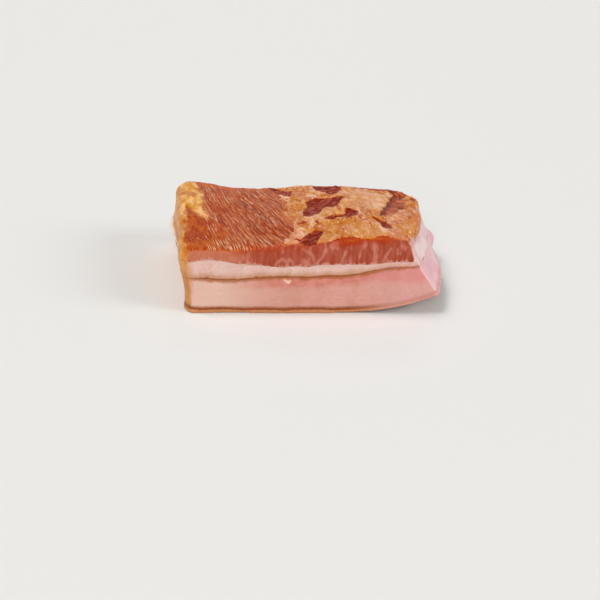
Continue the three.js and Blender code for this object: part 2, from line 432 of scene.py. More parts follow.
pink = mixed(tree, between(tree, blotchy, 0.4, 0.62), BAND_DEEP_PINK, BAND_PINK)
pink = tint(tree, pink, reading(tree, "far_right"), BAND_ROSE, 0.6)
surface = mixed(tree, work(tree, "MULTIPLY", pink_band, 0.9), pale_fat, pink)
# Painted shade: brown just below the crease, where the back fat meets the softer fat
crease_shade_edge = jittered(tree, reading(tree, "below_crease"), blotchy, 2.4)
crease_shade = below(tree, crease_shade_edge, 0.3, 2.0)
surface = tint(tree, surface, crease_shade, BROWN_SHADE_BELOW_CREASE, 0.8)
white_fat = mixed(tree, between(tree, cloudy, 0.35, 0.65), FRESH_ROSE, FRESH_WHITE)
surface = tint(tree, surface, reading(tree, "fresh_end"), white_fat)
ochre = mixed(tree, between(tree, blotchy, 0.35, 0.65), BACK_FAT_OCHRE, BACK_FAT_TAN)
surface = tint(tree, surface, reading(tree, "smoked_end"), ochre)
creep = below(tree, reading(tree, "creep"), -1.0, 3.0)
surface = tint(tree, surface, creep, BACK_FAT_CREEP, 0.7)
surface = tint(tree, surface, reading(tree, "bulge"), BULGE_WHITE)
over = jittered(tree, reading(tree, "over_rind"), fine, 1.2)
not_fresh = work(tree, "SUBTRACT", 1.0, work(tree, "MULTIPLY", reading(tree, "pale_rind"), 0.85))
rind_edge = work(tree, "MULTIPLY", below(tree, over, -0.4, 0.2), not_fresh)
surface = tint(tree, surface, rind_edge, RIND_EDGE)
line = work(tree, "MULTIPLY", between(tree, over, -0.8, -0.1), below(tree, over, 0.2, 2.4))
surface = tint(tree, surface, work(tree, "MULTIPLY", line, not_fresh), RIND_LINE)
surface = tint(tree, surface, reading(tree, "nick"), NICK_WHITE)
# Painted highlight: a pale line down the edge where the front cut meets the right end
surface = tint(tree, surface, reading(tree, "lit_edge"), BACK_FAT_PAINTED_HIGHLIGHT, 0.6)
leather_colour = mixed(tree, between(tree, fine, 0.3, 0.7), LEATHER_DARK, LEATHER_BROWN)
surface = tint(tree, surface, reading(tree, "underside"), leather_colour)
plug(tree, shader.inputs["Base Color"], surface)
add_bump(tree, shader, fine, 0.25)
back_fat.data.materials.append(material)
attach(back_fat, "root")
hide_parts("back_fat_on_rind")

# Soft fat band
# A narrow band of softer, whiter fat lies between the back fat and the lean. It bulges a
# little out of the cut and wraps up over the right end of the lean.
SOFT_FAT_VOXEL = 0.5 * MM
SOFT_FAT_SMOOTHING = 4
# The whitest fat of the right end, as a chain of (y, z, radius)
WHITE_FAT = [(-47, 34, 3.5), (-37, 29, 6), (-27, 30, 5)]
soft_fat = copy_of_layer("soft_fat_band", "soft_fat")
_, floor_rim, outer = press_into(soft_fat, ["back_fat_on_rind", "lean_layer"])
remesh(soft_fat, outer, SOFT_FAT_VOXEL, SOFT_FAT_SMOOTHING)
points = points_of(soft_fat)
normals = normals_of(soft_fat)
x, y, z = points.T
cut, left, right = cut_or_skin(points, normals)
over_crease = height_over(floor_rim, points)
relief = 0.28 * lumps(x, y, z, 7, seed=11) + 0.12 * lumps(x, y, z, 2.6, seed=12)
nicks = cut * 0.30 * rise(0.25, 0.5, lumps(x - z / 1.5, y / 4, z / 5, 3.2, seed=13))
upright = 0.30 * lumps(x, y, z / 6, 4.5, seed=14) * np.maximum(left, right)
relief += upright - nicks + swell(points)
place_points(soft_fat, points + normals * relief[:, None])
mark(
    soft_fat,
    over_crease=over_crease,
    creep=x - STAIN_END + 2.2 * lumps(x, y, z, 5, seed=8),
    smoked_end=left,
    fresh_end=right,
    whitest=rise(-3, 2, inside_chain(y, z, WHITE_FAT)),
    thin_crease=rise(15, 45, x),
    lit_edge=np.clip(3 * cut * right, 0, 1) * (y < 0),
)
shade_smooth(soft_fat)

# Its colours, as they look on a screen
CREAM = (206, 158, 136)
PALE_CREAM = (218, 178, 162)
UPPER_PAINTED_LIGHT = (228, 190, 182)
THIN_PINK = (232, 178, 174)
WHITE_SPECKS = (244, 216, 212)
WARM_PAINTED_SHADE = (196, 136, 92)
CREASE_PAINTED_SHADE = (164, 88, 20)
SOFT_FAT_CREEP = (206, 142, 76)
SOFT_END_ROSE = (218, 168, 170)
SOFT_END_WHITE = (234, 198, 198)
WHITEST = (246, 220, 218)
SOFT_FAT_PAINTED_HIGHLIGHT = (250, 218, 200)
SOFT_FAT_OCHRE = (190, 112, 34)
SOFT_FAT_TAN = (216, 152, 78)

material, tree, shader = moist_material("soft fat", roughness=0.38, wetness=0.18, flesh_depth=3.0)
fine = grain(tree, place(tree), 1.1, 4)
cloudy = grain(tree, place(tree), 8, 3)
surface = mixed(tree, between(tree, cloudy, 0.35, 0.65), CREAM, PALE_CREAM)
# Painted light: the band is made whiter from a few millimetres above the crease up, where it bulges out
upper_painted_light = between(tree, reading(tree, "over_crease"), 2.2, 5.0)
surface = tint(tree, surface, upper_painted_light, UPPER_PAINTED_LIGHT, 0.5)
surface = tint(tree, surface, reading(tree, "thin_crease"), THIN_PINK, 0.6)
surface = tint(tree, surface, between(tree, fine, 0.52, 0.68), WHITE_SPECKS, 0.4)
# Painted shade towards the crease: a warm tinge over the lowest few millimetres of the band and brown
# right at the crease, both weaker towards the right
over_crease = jittered(tree, reading(tree, "over_crease"), cloudy, 2.0)
warm_shade = below(tree, over_crease, 0.4, 3.8)
warm_shade_strength = work(tree, "MULTIPLY_ADD", reading(tree, "thin_crease"), -0.35, 0.6)
warm_shade = work(tree, "MULTIPLY", warm_shade, warm_shade_strength)
surface = tint(tree, surface, warm_shade, WARM_PAINTED_SHADE)
crease = below(tree, over_crease, 0.0, 1.0)
crease_strength = work(tree, "MULTIPLY_ADD", reading(tree, "thin_crease"), -0.4, 0.85)
crease = work(tree, "MULTIPLY", crease, crease_strength)
surface = tint(tree, surface, crease, CREASE_PAINTED_SHADE)
creep = below(tree, reading(tree, "creep"), -1.0, 3.0)
surface = tint(tree, surface, creep, SOFT_FAT_CREEP, 0.6)
end_colour = mixed(tree, between(tree, cloudy, 0.3, 0.7), SOFT_END_ROSE, SOFT_END_WHITE)
end_colour = tint(tree, end_colour, reading(tree, "whitest"), WHITEST, 0.7)
surface = tint(tree, surface, reading(tree, "fresh_end"), end_colour)
# Painted highlight: a pale line down the edge where the front cut meets the right end
surface = tint(tree, surface, reading(tree, "lit_edge"), SOFT_FAT_PAINTED_HIGHLIGHT, 0.5)
ochre = mixed(tree, between(tree, cloudy, 0.35, 0.65), SOFT_FAT_OCHRE, SOFT_FAT_TAN)
surface = tint(tree, surface, reading(tree, "smoked_end"), ochre)
plug(tree, shader.inputs["Base Color"], surface)
add_bump(tree, shader, fine, 0.25)
soft_fat.data.materials.append(material)
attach(soft_fat, "root")
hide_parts("soft_fat_band")

# Lean meat and its smoked top
# The cured lean shows its long fibres on the left of the top, and on the right a thin
# smoked membrane covers it, torn open in several places down to dark meat.
LEAN_VOXEL = 0.56 * MM
LEAN_SMOOTHING = 4
# How far a fibre runs to the left for each millimetre towards the back
GRAIN_SKEW = 0.19
# The left edge of the membrane, as (y, x)
MEMBRANE_LEFT = [
    (-56, -21), (-52, -24), (-43, -22), (-37, -16), (-25, -17), (-13, -19), (4, -18),
    (15, -15), (24, -17), (40, -16), (56, -14),
]
# The front edge of the membrane, as (x, y)
MEMBRANE_FRONT = [
    (-26, -51), (-20, -54.5), (-14, -53.5), (-3, -54.5), (6, -51), (12, -50.5), (17, -53.5),
    (22, -53.5), (27, -51.5), (33, -52.5), (40, -55), (60, -60),
]
# The loose edge of the membrane on the right, as (y, x), and how wide the bare strip past it
# is, as (y, width)
FLAP = [
    (-30, 28), (-21, 31.5), (-15.5, 35), (-11, 36.5), (6, 43), (18, 47.8), (30, 52.6),
    (39, 56.5), (45, 55.5), (52, 54),
]
FLAP_STRIP = [
    (-24, -6), (-18, -1), (-12, 3), (-4, 7), (5, 11), (18, 10), (33, 8), (42, 8), (52, 10),
]
# Where the smoked top ends on the right and fresh fat begins, as (y, x)
SMOKED_RIGHT = [
    (-56, 41), (-43, 48), (-36, 52), (-30, 57), (-13, 62), (0, 65), (20, 67), (41, 66), (52, 62),
]
# Torn places, each as a chain of (x, y, radius)
TEARS = [
    [(11, 54, 5), (11, 40.5, 5), (14, 39, 6), (18, 43.5, 5.6), (18.5, 54, 5.5)],
    [
        (-5.6, -12, 3.4), (-3, -5, 4.8), (1, 4, 5.4), (4, 12.5, 7.2), (8.5, 14.4, 7.6),
        (11.5, 16, 6.4), (18.8, 22.8, 2.8),
    ],
    [(12, 12, 4), (11.8, 5.5, 2.8)],
    [
        (5.2, -20.5, 2.4), (7.2, -16, 3), (12.5, -14.5, 3.3), (17.3, -16, 4.8), (19.6, -10, 4.3),
        (19.2, -5.5, 2.8),
    ],
    [(-12.8, -56, 4), (-11, -49.5, 4.2), (-7.5, -44, 3.8), (-4.4, -39.8, 3.6)],
    [(-17.8, -49, 1.3), (-16, -49.4, 1)],
    [(30.6, -20.5, 1.4), (33.8, -25, 2.8), (34.8, -31.5, 3.5), (33.8, -38.5, 2.8)],
    [(-12.5, -24.5, 1.3), (-10, -24.5, 1.7)],
    [(-3, -27, 1), (-2.6, -23, 1)],
    [(65.5, 30, 1.2), (66.3, 24, 1.4)],
    [(-19, 51, 2), (-15, 45, 3.5), (-12, 38, 3.5), (-12, 29, 1.5)],
]
# Paler and more golden lobes of the membrane, as chains of (x, y, radius)
PALE_LOBES = [
    [(27, 38, 4), (30, 24, 6), (37, 22, 7), (44, 28, 5)],
    [(29, 11, 4), (34, 2, 3)],
    [(20, 9, 3), (22, 1, 2.5)],
    [(-2, -13, 2.5), (3.5, -6, 2.5), (9.5, -3.5, 2.5)],
    [(14, -42, 2.5), (19, -45, 3), (23, -49, 3), (28, -47, 2.5)],
    [(-4.5, -52, 2), (-1, -49, 2), (1.5, -52, 2)],
    [(-21, -43, 2.5), (-19, -50, 2.5)],
    [(-18, -31, 2), (-15, -25, 1.5)],
]
GOLDEN_LOBES = [
    [(-9, 37, 3), (-3, 37, 4), (-7, 28, 3)],
    [(-17, -5, 3), (-12, -7, 3.5), (-8, 2, 3)],
    [(3.5, -30, 3.5), (8, -32.5, 4), (12, -32, 3.5), (10, -41, 2)],
    [(16, -26, 3), (22, -25, 2), (28, -20, 2.5), (32, -13, 3)],
    [(33, -52, 2), (38, -46, 3.5), (43, -47, 4), (47, -39, 3)],
    [(41, -28, 2.5), (46, -30, 3), (54, -18, 3.5)],
]
# How strongly the top of the front cut is glazed, along x
GLAZE = [
    (-78, 0.1), (-56, 0.15), (-48, 0.8), (-25, 0.8), (-12, 0.5), (2, 0.5), (8, 1), (30, 1),
    (38, 0.3), (50, 0.2),
]
# A dark red place at the front edge of the muscle, as a chain of (x, y, radius)
DARK_FRONT = [(-50, -49, 2.5), (-43, -51, 3), (-36, -52, 2)]
# A brown spot on the right end, as a chain of (y, z, radius)
BROWN_SPOT = [(-34, 36.5, 0.8), (-29, 38, 0.8)]
# Tan fat along the left end of the top, and an amber spot on it, as chains of (x, y, radius)
TAN_FAT = [
    [(-77, 50, 8), (-73, 40, 8), (-71, 25, 7), (-70, 12, 6), (-67, 0, 2.5), (-62, -14, 0.8)],
    [(-78, 10, 4), (-79, -10, 3), (-80, -30, 2.5), (-80, -50, 3)],
]
AMBER_SPOT = [(-75, 31, 2), (-71, 27, 3.5), (-69, 21, 2)]
# Pale seams that wind over the front cut of the lean, as chains of (x, z, radius)
SEAMS = [
    [(-29.2, 28.0, 0), (-27.1, 30.3, 0), (-25.8, 31.3, 0), (-23.8, 30.4, 0), (-22.7, 29.2, 0)],
    [(-22.7, 29.2, 0), (-21.7, 31.4, 0), (-20.0, 29.7, 0), (-19.1, 27.0, 0)],
    [(-14.8, 37.2, 0), (-10.9, 35.2, 0), (-9.1, 33.2, 0), (-8.5, 31.0, 0)],
    [(-11.0, 26.6, 0), (-7.8, 29.0, 0), (-5.7, 30.7, 0), (-3.9, 32.9, 0), (-2.7, 36.1, 0)],
    [(8, 27.2, 0), (7, 31, 0), (8.5, 36, 0)],
    [(29, 29.5, 0), (30.5, 34, 0), (33, 38, 0)],
]
# How much longer the marks of the membrane are front to back than across
DRAWN_OUT = 2.6


def in_lobes(x, y, lobes):
    """1 in soft-edged lobes that are drawn out front to back, 0 outside them."""
    drawn_out = [[(cx, cy / DRAWN_OUT, radius) for cx, cy, radius in lobe] for lobe in lobes]
    return rise(-2.5, 2, np.max([inside_chain(x, y / DRAWN_OUT, lobe) for lobe in drawn_out], axis=0))


def along_line(line, value):
    """The second number of a line's points, read off between them at a value of the first."""
    places, values = zip(*line)
    return np.interp(value, places, values)


def across_grain(x, y):
    """A place across the fibres in millimetres, the same all along one fibre."""
    bend = 0.006 * np.maximum(-25 - y, 0) ** 2 * np.exp(-(((x + 24) / 14) ** 2))
    swirl = 1.8 * lumps(x, y, 0, 26, seed=21) + 0.4 * lumps(x, y, 0, 9, seed=22)
    return x + GRAIN_SKEW * y - bend + swirl


lean = copy_of_layer("lean_layer", "lean_meat")
_, floor_rim, outer = press_into(lean, ["soft_fat_band"])
remesh(lean, outer, LEAN_VOXEL, LEAN_SMOOTHING)
points = points_of(lean)
normals = normals_of(lean)
x, y, z = points.T
cut, left, right = cut_or_skin(points, normals)
top = rise(0.5, 0.75, normals[:, 2])
over_fat = height_over(floor_rim, points)
top_edge = points[(top > 0.25) & (top < 0.75)]
below_top = -height_over(top_edge, points)

across = across_grain(x, y)
broad_strokes = lumps(across / 2.4, y / 30, 5, 1, seed=38)
fine_strokes = lumps(across / 1.2, y / 26, 0, 1, seed=23)
fine_strokes += 0.7 * lumps(across / 0.75, y / 15, 3, 1, seed=24)
fibre = even(0.9 * broad_strokes + fine_strokes)

ragged_edge = 2.2 * lumps(x, y, 0, 7, seed=25) + 1.0 * lumps(x, y, 0, 2.6, seed=26)
torn = np.max([inside_chain(x, y, chain) for chain in TEARS], axis=0) + 0.55 * ragged_edge
past_flap = x - along_line(FLAP, y) + 0.4 * ragged_edge
strip_left = along_line(FLAP_STRIP, y) - past_flap + 1.5 * ragged_edge
strip = np.minimum(past_flap, strip_left)
from_left = x - along_line(MEMBRANE_LEFT, y) + 1.3 * ragged_edge
from_front = y - along_line(MEMBRANE_FRONT, x) + 0.6 * ragged_edge
past_smoke = x - along_line(SMOKED_RIGHT, y) + 0.6 * ragged_edge
skin = np.min([from_left, from_front, -torn, -np.minimum(past_flap, strip_left / 6)], axis=0)
tan_fat = np.max([inside_chain(x, y, chain) for chain in TAN_FAT], axis=0) + 0.7 * ragged_edge
amber = rise(-1, 1.5, inside_chain(x, y, AMBER_SPOT) + 0.6 * ragged_edge)
front_left = rise(-5, 5, -(x + 56) - 0.15 * (y + 20) + ragged_edge)
front_left *= 1 - rise(-12, 0, y + 0.4 * (x + 66))

skin_cover = rise(-0.35, 0.45, skin)
skin_lip = np.exp(-(((skin - 0.7) / 0.6) ** 2))
drape = y / DRAWN_OUT
folds = 1 - 2 * np.abs(lumps(x + 2 * lumps(x, drape, 0, 9, seed=36), drape, 0, 6, seed=28))
wrinkles = even(
    0.6 * lumps(x, drape, 0, 9, seed=27) + 0.45 * folds + 0.6 * lumps(x, drape, 0, 3.2, seed=29) +
    0.45 * lumps(x, drape, 0, 1.5, seed=35)
)
back_edge = rise(40, 54, y)
membrane_relief = 0.45 * skin_cover + 0.3 * skin_lip * (1 - back_edge)
membrane_relief += 0.26 * np.clip(wrinkles, -2.5, 2.2)
membrane_relief -= 1.5 * rise(25, 54, y) * rise(22, 40, x) + 0.4 * back_edge
streaks = even(lumps((y - 0.7 * x) / 1.6, (x + 0.7 * y) / 7, 0, 1, seed=30))
torn_relief = (0.15 * streaks - 0.25) * rise(0, 1, torn) * (1 - skin_cover)
bare = 1 - rise(-3, 1, from_left)
muscle_relief = (0.09 * fibre + 0.3 * lumps(across / 5, y / 22, 0, 1, seed=37)) * bare
muscle_relief *= (1 - 0.7 * rise(-1, 1.5, tan_fat)) * (1 - 0.5 * front_left)
fat_relief = 0.5 * rise(-1.5, 2, tan_fat) + 0.25 * lumps(x, y, 0, 5, seed=31) * rise(-1, 1, tan_fat)
top_relief = muscle_relief + fat_relief + torn_relief + (1 - bare) * membrane_relief
cut_relief = cut * (0.20 * lumps(x / 1.3, y / 3, z / 5, 1, seed=32) + 0.22 * lumps(x, y, z, 5, seed=33))
end_relief = np.maximum(left, right) * 0.3 * lumps(x, y, z / 6, 4.5, seed=34)
knob = 1.4 * np.exp(-(((x - 60) / 4.5) ** 2) - ((y - 46) / 6) ** 2)
front_cut = np.flatnonzero((cut > 0.5) & (y < 0))
rim_tree = kdtree.KDTree(len(front_cut))
for index in front_cut.tolist():
    rim_tree.insert((x[index], y[index], 0), index)
rim_tree.balance()
far_from_rim = 20.0
from_rim = np.full(len(points), far_from_rim)
for index in np.flatnonzero((top > 0.3) & (y < -32)).tolist():
    from_rim[index] = rim_tree.find((x[index], y[index], 0))[2]
seam = rise(-1.5, 0.0, np.max([inside_chain(x, z, chain) for chain in SEAMS], axis=0)) * cut * (y < 0)
cut_relief += 0.2 * seam
relief = top * (top_relief + knob) + (1 - top) * (cut_relief + end_relief + swell(points))
place_points(lean, points + normals * relief[:, None])
mark(
    lean,
    across=across,
    along=y,
    skin=skin,
    torn=torn,
    tan_fat=tan_fat,
    amber=amber,
    front_left=front_left,
    fibre=fibre,
    wrinkles=wrinkles,
    streaks=streaks,
    over_fat=over_fat,
    below_top=below_top,
    past_flap=past_flap,
    strip=strip,
    pale=in_lobes(x + ragged_edge, y, PALE_LOBES),
    golden=in_lobes(x + ragged_edge, y, GOLDEN_LOBES),
    glazed=along_line(GLAZE, x),
    whitest=rise(-3, 2, inside_chain(y, z, WHITE_FAT)),
    brown_spot=rise(-1, 1, inside_chain(y, z, BROWN_SPOT)) * right,
    from_rim=from_rim,
    seam=seam,
    towards_left=1 - rise(-52, -38, x),
    back_left=(1 - rise(-50, -30, x)) * rise(-5, 15, y),
    front_strip=np.maximum(
        rise(-16, -6, x) * (1 - rise(-47, -42, y)),
        0.8 * rise(-2, 1.5, inside_chain(x, y, DARK_FRONT) + ragged_edge),
    ),
    lit_edge=np.clip(3 * cut * right, 0, 1) * (y < 0),
    cut=cut,
    smoked_end=left,
    fresh_end=right * rise(-0.6, 1.0, past_smoke),
)
shade_smooth(lean)

# Its colours, as they look on a screen
WARM_SHINE = (255, 188, 124)
MUSCLE_RED = (160, 50, 2)
MUSCLE_ROSE = (174, 72, 36)
MUSCLE_BRONZE = (184, 78, 16)
BACK_BRONZE = (180, 70, 4)
FURROW_RED = (132, 34, 2)
RIDGE_PINK = (206, 112, 62)
PALE_THREAD = (232, 160, 112)
BACK_RIM_TAN = (204, 100, 24)
SMOKED_RED = (162, 48, 0)
SMOKED_ORANGE = (188, 80, 2)
ORANGE_THREAD = (226, 142, 66)
FRONT_DARK_RED = (158, 36, 4)
FRONT_RED = (196, 78, 28)
MEMBRANE_AMBER = (194, 106, 10)
MEMBRANE_PEACH = (226, 152, 78)
WRINKLE_PEACH = (240, 190, 160)
GOLDEN = (204, 118, 12)
PALE_LOBE = (228, 170, 116)
ROSE_CLOUD = (212, 128, 104)
GOLDEN_CLOUD = (208, 124, 20)
PALE_SPECKS = (242, 196, 158)
BROWN_SPECKS = (178, 76, 2)
TAN_DEEP = (218, 142, 36)
TAN_LIGHT = (244, 192, 124)
AMBER_STAIN = (196, 100, 20)
TORN_DARK = (112, 16, 2)
TORN_RED = (150, 42, 16)
TORN_STREAK = (192, 98, 76)
TORN_RIM = (180, 66, 14)
STRIP_DARK = (136, 40, 6)
STRIP_PINK = (204, 104, 54)
STRIP_SPECKS = (208, 138, 98)
FLAP_PAINTED_SHADOW = (112, 24, 0)
CUT_RED = (162, 68, 46)
CUT_ROSE = (178, 88, 68)
CUT_PATCH = (212, 134, 118)
CUT_LEFT = (208, 132, 100)
SEAM_PINK = (222, 158, 138)
FAT_FRINGE = (212, 150, 132)
GLAZE_ORANGE = (172, 54, 6)
RIM_ORANGE = (206, 108, 30)
LEAN_OCHRE = (200, 118, 26)
LEAN_TAN = (226, 160, 78)
LEAN_END_ROSE = (208, 146, 146)
LEAN_END_WHITE = (230, 186, 184)
SPOT_BROWN = (150, 92, 54)
LEAN_PAINTED_HIGHLIGHT = (250, 212, 186)

material, tree, shader = moist_material(
    "cured lean and membrane", roughness=0.42, wetness=0.06, flesh_depth=1.6,
)
shader.inputs["Specular IOR Level"].default_value = 0.13
shader.inputs["Specular Tint"].default_value = colour(WARM_SHINE)
flow = tree.nodes.new("ShaderNodeCombineXYZ")
plug(tree, flow.inputs["X"], reading(tree, "across"))
plug(tree, flow.inputs["Y"], work(tree, "MULTIPLY", reading(tree, "along"), 0.07))
threads = grain(tree, flow.outputs["Vector"], 1.0, 3, 0.6)
thin_threads = grain(tree, flow.outputs["Vector"], 0.5, 2, 0.5)
fine = grain(tree, place(tree), 1.0, 4)
on_top = place(tree, (1, DRAWN_OUT, 1))
speckled = grain(tree, on_top, 1.4, 3)
spotted = grain(tree, on_top, 2.3, 3)
mottled = grain(tree, on_top, 4, 4, 0.6)
cloudy = grain(tree, on_top, 11, 2)
blotchy = grain(tree, place(tree), 8, 3)
ridge = jittered(tree, reading(tree, "fibre"), threads, 5.0)
muscle = mixed(tree, between(tree, cloudy, 0.42, 0.58), MUSCLE_RED, MUSCLE_ROSE)
muscle = tint(tree, muscle, between(tree, mottled, 0.5, 0.66), MUSCLE_BRONZE)
muscle = tint(tree, muscle, reading(tree, "back_left"), BACK_BRONZE, 0.5)
muscle = tint(tree, muscle, below(tree, ridge, -1.7, -0.3), FURROW_RED, 0.8)
muscle = tint(tree, muscle, between(tree, ridge, 0.5, 1.7), RIDGE_PINK, 0.6)
muscle = tint(tree, muscle, between(tree, thin_threads, 0.57, 0.66), PALE_THREAD, 0.8)
back_rim = between(tree, work(tree, "MULTIPLY_ADD", mottled, 14.0, reading(tree, "along")), 48.0, 58.0)
muscle = tint(tree, muscle, back_rim, BACK_RIM_TAN, 0.7)
orange = mixed(tree, between(tree, mottled, 0.4, 0.62), SMOKED_RED, SMOKED_ORANGE)
orange = tint(tree, orange, between(tree, thin_threads, 0.54, 0.66), ORANGE_THREAD, 0.7)
surface = mixed(tree, reading(tree, "front_left"), muscle, orange)
strip_red = mixed(tree, between(tree, fine, 0.4, 0.65), FRONT_DARK_RED, FRONT_RED)
surface = tint(tree, surface, reading(tree, "front_strip"), strip_red)
height = jittered(tree, reading(tree, "wrinkles"), mottled, 5.0)
peach = mixed(tree, between(tree, height, -1.2, 0.6), MEMBRANE_AMBER, MEMBRANE_PEACH)
peach = tint(tree, peach, between(tree, height, 0.3, 1.8), WRINKLE_PEACH)
peach = tint(tree, peach, reading(tree, "golden"), GOLDEN, 0.7)
peach = tint(tree, peach, reading(tree, "pale"), PALE_LOBE, 0.45)
peach = tint(tree, peach, between(tree, cloudy, 0.5, 0.6), ROSE_CLOUD, 0.4)
peach = tint(tree, peach, below(tree, cloudy, 0.38, 0.48), GOLDEN_CLOUD, 0.5)
peach = tint(tree, peach, between(tree, speckled, 0.55, 0.66), PALE_SPECKS, 0.7)
spot_strength = work(tree, "MULTIPLY_ADD", reading(tree, "pale"), -0.6, 0.8)
spots = work(tree, "MULTIPLY", between(tree, spotted, 0.54, 0.64), spot_strength)
peach = tint(tree, peach, spots, BROWN_SPECKS)
tan_colour = mixed(tree, between(tree, mottled, 0.4, 0.62), TAN_DEEP, TAN_LIGHT)
tan_colour = tint(tree, tan_colour, reading(tree, "amber"), AMBER_STAIN, 0.7)
surface = tint(tree, surface, ragged(tree, "tan_fat", mottled, 3.0, 2.0), tan_colour)
skin_mask = ragged(tree, "skin", fine, 0.7, 0.3)
surface = tint(tree, surface, skin_mask, peach)
bare_here = work(tree, "SUBTRACT", 1.0, skin_mask)
dark_meat = mixed(tree, between(tree, fine, 0.4, 0.65), TORN_DARK, TORN_RED)
streaked = jittered(tree, reading(tree, "streaks"), speckled, 5.0)
streaked = work(tree, "MULTIPLY", between(tree, streaked, -0.4, 2.1), 0.8)
dark_meat = tint(tree, dark_meat, streaked, TORN_STREAK)
torn_rim = below(tree, reading(tree, "torn"), 0.0, 1.2)
torn_rim = work(tree, "MULTIPLY", torn_rim, between(tree, mottled, 0.45, 0.6))
dark_meat = tint(tree, dark_meat, torn_rim, TORN_RIM)
torn_mask = work(tree, "MULTIPLY", ragged(tree, "torn", fine, 0.6, 0.5), bare_here)
surface = tint(tree, surface, torn_mask, dark_meat)
streaky = grain(tree, place(tree, (2.2, 11, 2), (0, 0, math.radians(37))), 1.0, 3)
strip_meat = mixed(tree, between(tree, streaky, 0.4, 0.62), STRIP_DARK, STRIP_PINK)
strip_meat = tint(tree, strip_meat, between(tree, spotted, 0.56, 0.66), STRIP_SPECKS, 0.6)
# Painted shadow: the bare strip darkens to deep red-brown just past the flap's loose edge
flap_shadow = below(tree, reading(tree, "past_flap"), 0.8, 4.0)
strip_meat = tint(tree, strip_meat, flap_shadow, FLAP_PAINTED_SHADOW, 0.9)
surface = tint(tree, surface, ragged(tree, "strip", mottled, 2.0, 1.0), strip_meat)
upright = grain(tree, place(tree, (1, 1, 5)), 2.2, 4, 0.6)
cut_meat = mixed(tree, between(tree, upright, 0.36, 0.64), CUT_RED, CUT_ROSE)
patches = grain(tree, place(tree, (1, 1, 2.6)), 4.5, 3, 0.5)
cut_meat = tint(tree, cut_meat, between(tree, patches, 0.52, 0.66), CUT_PATCH, 0.7)
cut_meat = tint(tree, cut_meat, reading(tree, "towards_left"), CUT_LEFT, 0.6)
cut_meat = tint(tree, cut_meat, reading(tree, "seam"), SEAM_PINK, 0.38)
fringe_edge = jittered(tree, reading(tree, "over_fat"), upright, -9.0)
fringe = below(tree, fringe_edge, 0.1, 1.1)
cut_meat = tint(tree, cut_meat, fringe, FAT_FRINGE, 0.75)
glaze_edge = jittered(tree, reading(tree, "below_top"), blotchy, 9.0)
glaze = below(tree, glaze_edge, 0.2, 3.6)
glaze = work(tree, "MULTIPLY", glaze, work(tree, "MULTIPLY", reading(tree, "glazed"), 0.85))
cut_meat = tint(tree, cut_meat, glaze, GLAZE_ORANGE)
surface = tint(tree, surface, reading(tree, "cut"), cut_meat)
rim = below(tree, reading(tree, "from_rim"), 0.3, 1.6)
rim = work(tree, "MULTIPLY", rim, between(tree, mottled, 0.46, 0.58))
surface = tint(tree, surface, rim, RIM_ORANGE, 0.45)
ochre = mixed(tree, between(tree, mottled, 0.35, 0.65), LEAN_OCHRE, LEAN_TAN)
surface = tint(tree, surface, reading(tree, "smoked_end"), ochre)
end_colour = mixed(tree, between(tree, blotchy, 0.3, 0.7), LEAN_END_ROSE, LEAN_END_WHITE)
end_colour = tint(tree, end_colour, reading(tree, "whitest"), WHITEST, 0.7)
end_colour = tint(tree, end_colour, reading(tree, "brown_spot"), SPOT_BROWN, 0.6)
surface = tint(tree, surface, reading(tree, "fresh_end"), end_colour)
# Painted highlight: a pale line down the edge where the front cut meets the right end
surface = tint(tree, surface, reading(tree, "lit_edge"), LEAN_PAINTED_HIGHLIGHT, 0.5)
plug(tree, shader.inputs["Base Color"], surface)
add_bump(tree, shader, work(tree, "ADD", fine, thin_threads), 0.25)
lean.data.materials.append(material)
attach(lean, "root")
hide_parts("lean_layer")

# Pale strands
# Thin strands of connective tissue lie along the grain of the bare muscle and fray at its
# front edge. Each is a fine tube that follows the meat from step to step.
STRAND_STEP = 1.1
STRAND_STARTS = 230
# Between which places the strands start, along x and along y, and how many of them start
# nearer to the front edge, where the muscle frays
STARTS_X, STARTS_Y = (-66, -17), (-50, 52)
FRAYED_STRANDS = 60
FRAYED_X, FRAYED_Y = (-63, -34), (-51, -36)
LAST_STRAND_Y = -54
# The thinnest and thickest strand's radius, and how high its middle lies over the meat
STRAND_RADII = (0.12, 0.34)
STRAND_LIFT = 0.03
STRAND_ROSE = (206, 116, 66)
STRAND_PALE = (236, 176, 134)
lean_surface = BVHTree.FromObject(lean, bpy.context.evaluated_depsgraph_get())
draw = np.random.default_rng(11)


def strand_heading(x, y):
    """Which way a fibre runs at a place on the top, towards the front."""
    lean_x = across_grain(x + 0.5, y) - across_grain(x - 0.5, y)
    lean_y = across_grain(x, y + 0.5) - across_grain(x, y - 0.5)
    length = np.hypot(lean_x, lean_y)
    return lean_y / length, -lean_x / length


def top_at(x, y):
    """The height of the lean's top at a place, or None past its edge."""
    high_above = 80
    hit = lean_surface.ray_cast(Vector((x, y, high_above)) * MM, Vector((0, 0, -1)))[0]
    return None if hit is None else hit.z / MM


def add_strand(curve, path, radius):
    """One strand as a thin tube that tapers to both ends."""
    spline = curve.splines.new("POLY")
    spline.points.add(len(path) - 1)
    for share, point, spot in zip(np.linspace(0, 1, len(path)), spline.points, path):
        point.co = (*(Vector(spot) * MM), 1)
        point.radius = radius * max(math.sin(math.pi * share) ** 0.6, 0.15)


